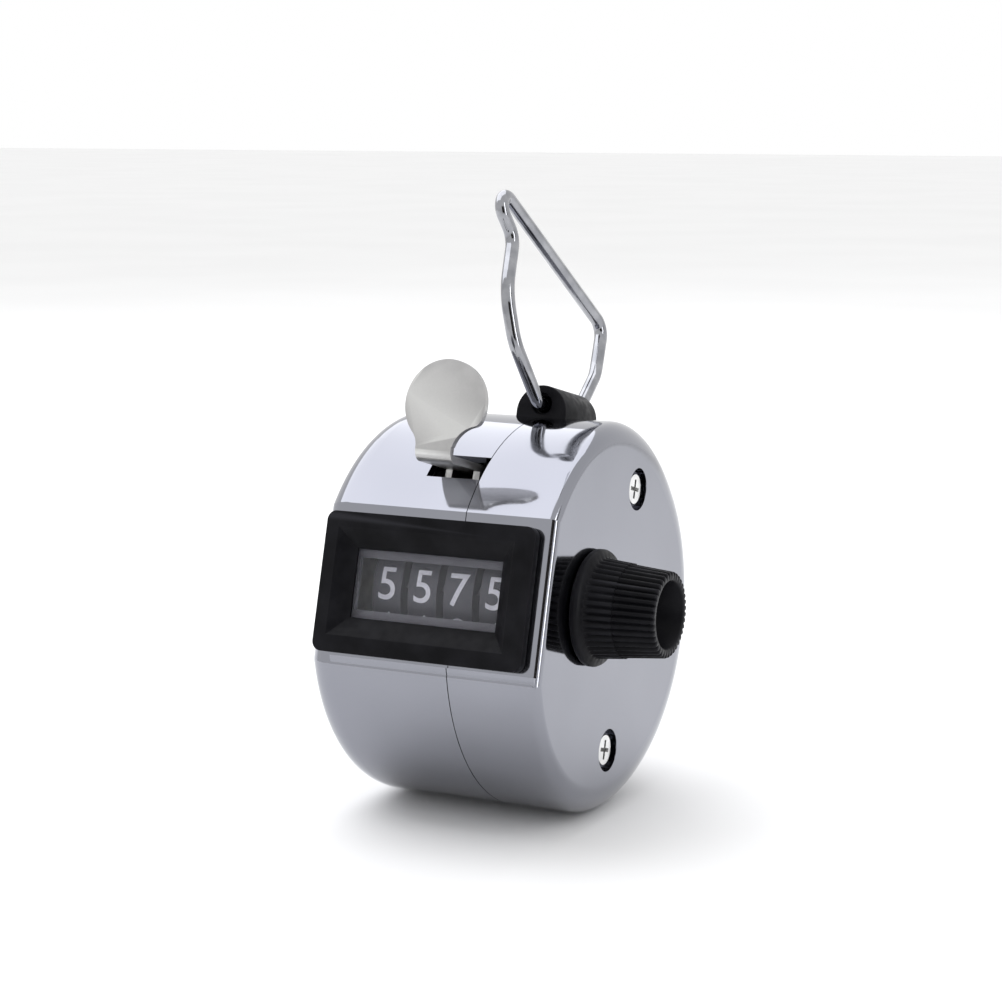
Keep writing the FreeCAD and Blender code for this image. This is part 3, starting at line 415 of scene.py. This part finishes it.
def wheel_digits(name, ink):
    """Ten numbers printed round a wheel's band, with the shown one at the window."""
    low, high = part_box(f"{name}_wheel")
    radius = (high.z - low.z) / 2 + PRINT_HEIGHT * MM
    centre_x = (DIGIT_X[name] + DRUM_HALF_WIDTH) * MM
    shown_angle = math.asin((DIGIT_CENTRE_Z - SHAFT_HEIGHT) * MM / radius) - LEAN
    together = bmesh.new()
    for digit in range(10):
        work = digit_outline(str(digit))
        middle = shown_angle - DIGIT_PITCH * (digit - SHOWN[name])
        copies = {}
        for vertex in work.verts:
            angle = middle + vertex.co.y * MM / radius
            copies[vertex] = together.verts.new((
                centre_x + vertex.co.x * MM,
                SHAFT.y - radius * math.cos(angle),
                SHAFT.z + radius * math.sin(angle),
            ))
        for face in work.faces:
            together.faces.new([copies[vertex] for vertex in face.verts])
        work.free()
    mesh = bpy.data.meshes.new(f"{name}_digits")
    together.to_mesh(mesh)
    together.free()
    return add_object(f"{name}_digits", mesh, ink, name)


# ---------------------------------------------------------------- studio

CAMERA_AZIMUTH = 26.88
CAMERA_ELEVATION = 9.14
CAMERA_DISTANCE = 283.8
CAMERA_RIGHT = -0.81
CAMERA_UP = 12.45
CAMERA_LENS = 87.2


def make_camera():
    azimuth = math.radians(CAMERA_AZIMUTH)
    elevation = math.radians(CAMERA_ELEVATION)
    right = Vector((math.cos(azimuth), math.sin(azimuth), 0))
    forward = Vector((
        -math.sin(azimuth) * math.cos(elevation),
        math.cos(azimuth) * math.cos(elevation),
        -math.sin(elevation),
    ))
    up = right.cross(forward)
    offset = -CAMERA_DISTANCE * forward + CAMERA_RIGHT * right + CAMERA_UP * up
    position = place(0, 0, 0) + offset * MM
    data = bpy.data.cameras.new("camera")
    data.lens = CAMERA_LENS
    data.sensor_width = 36
    data.clip_start = 0.01
    camera = bpy.data.objects.new("camera", data)
    rotation = Matrix((right, up, -forward)).transposed().to_4x4()
    camera.matrix_world = Matrix.Translation(position) @ rotation
    bpy.context.scene.collection.objects.link(camera)
    bpy.context.scene.camera = camera


def area_light(name, position, target, size, watts, color=(1, 1, 1)):
    data = bpy.data.lights.new(name, "AREA")
    data.shape = "RECTANGLE"
    data.size, data.size_y = size
    data.energy = watts
    data.color = color
    light = bpy.data.objects.new(name, data)
    light.location = position
    light.rotation_euler = (Vector(target) - Vector(position)).to_track_quat("-Z", "Y").to_euler()
    bpy.context.scene.collection.objects.link(light)


def card(name, position, target, size, material):
    """Flat studio card that shows in the chrome."""
    mesh = bpy.data.meshes.new(name)
    half_width, half_height = size[0] / 2, size[1] / 2
    corners = [(-half_width, -half_height, 0), (half_width, -half_height, 0)]
    corners += [(half_width, half_height, 0), (-half_width, half_height, 0)]
    mesh.from_pydata(corners, [], [(0, 1, 2, 3)])
    mesh.materials.append(material)
    piece = bpy.data.objects.new(name, mesh)
    piece.location = position
    piece.rotation_euler = (Vector(target) - Vector(position)).to_track_quat("-Z", "Y").to_euler()
    bpy.context.scene.collection.objects.link(piece)
    return piece


def make_floor(material):
    low = cad_box[0][2]
    mesh = bpy.data.meshes.new("floor")
    reach = 4.0
    corners = [(-reach, -reach, low), (reach, -reach, low), (reach, reach, low), (-reach, reach, low)]
    mesh.from_pydata(corners, [], [(0, 1, 2, 3)])
    mesh.materials.append(material)
    floor = bpy.data.objects.new("floor", mesh)
    bpy.context.scene.collection.objects.link(floor)


def make_world():
    world = bpy.data.worlds.new("studio")
    world.use_nodes = True
    background = world.node_tree.nodes["Background"]
    background.inputs["Color"].default_value = (1, 1, 1, 1)
    background.inputs["Strength"].default_value = 1.0
    bpy.context.scene.world = world
    bpy.context.scene.view_settings.view_transform = "Standard"


def make_studio():
    middle = place(0, 0, 5)
    make_floor(pale_floor())
    make_world()
    area_light("top_softbox", (-0.20, 0.10, 0.42), middle, (0.7, 0.6), 2.1, (0.95, 0.96, 1.0))
    area_light("right_strip", (0.45, -0.10, 0.14), middle, (0.08, 0.5), 0.6)
    dark = Finish("dark_card", (0.03, 0.026, 0.022), roughness=0.9)
    dark.bump(dark.noise(1, 2), 0.1, 0.3)
    card("front_flag", (0.30, -0.36, 0.12), middle, (0.30, 0.30), dark.material)
    card("right_flag", (0.46, 0.02, 0.15), middle, (0.07, 0.30), dark.material)
    card("top_flag", (-0.02, -0.02, 0.60), middle, (0.22, 0.05), dark.material)


# ---------------------------------------------------------------- the whole picture

def main():
    steel = plain_metal("turned_steel", (0.50, 0.50, 0.51), (0.64, 0.64, 0.65), 0.18, 0.34)
    black = black_plastic()
    nickel = satin_nickel()
    looks = {
        "chrome_shell": chrome_plate(),
        "black_plastic": black,
        "clear_lens": clear_plastic(),
        "grey_mask": mask_paint(),
        "number_wheel": printed_wheel(),
        "nickel_lever": nickel,
        "ring_wire": wire_chrome(),
        "plate_steel": plain_metal("stamped_steel", (0.45, 0.45, 0.46), (0.58, 0.58, 0.59), 0.3, 0.5),
        "turned_steel": steel,
        "screw_steel": plain_metal("screw_nickel", (0.66, 0.66, 0.66), (0.8, 0.8, 0.79), 0.12, 0.28),
        "spring_steel": plain_metal("spring_wire", (0.4, 0.4, 0.42), (0.55, 0.55, 0.57), 0.25, 0.4),
        "brass": plain_metal("turned_brass", (0.62, 0.44, 0.18), (0.78, 0.58, 0.28), 0.2, 0.36),
    }
    finish_nodes(looks)
    softened_copy("window_bezel", 0.28, black, "housing")
    softened_copy("ring_lug", 0.22, black, "housing")
    softened_copy("thumb_lever", 0.1, nickel, "lever")
    ribbed_knob(black)
    ink = number_ink()
    for name in SHOWN:
        wheel_digits(name, ink)
    make_camera()
    make_studio()


main()
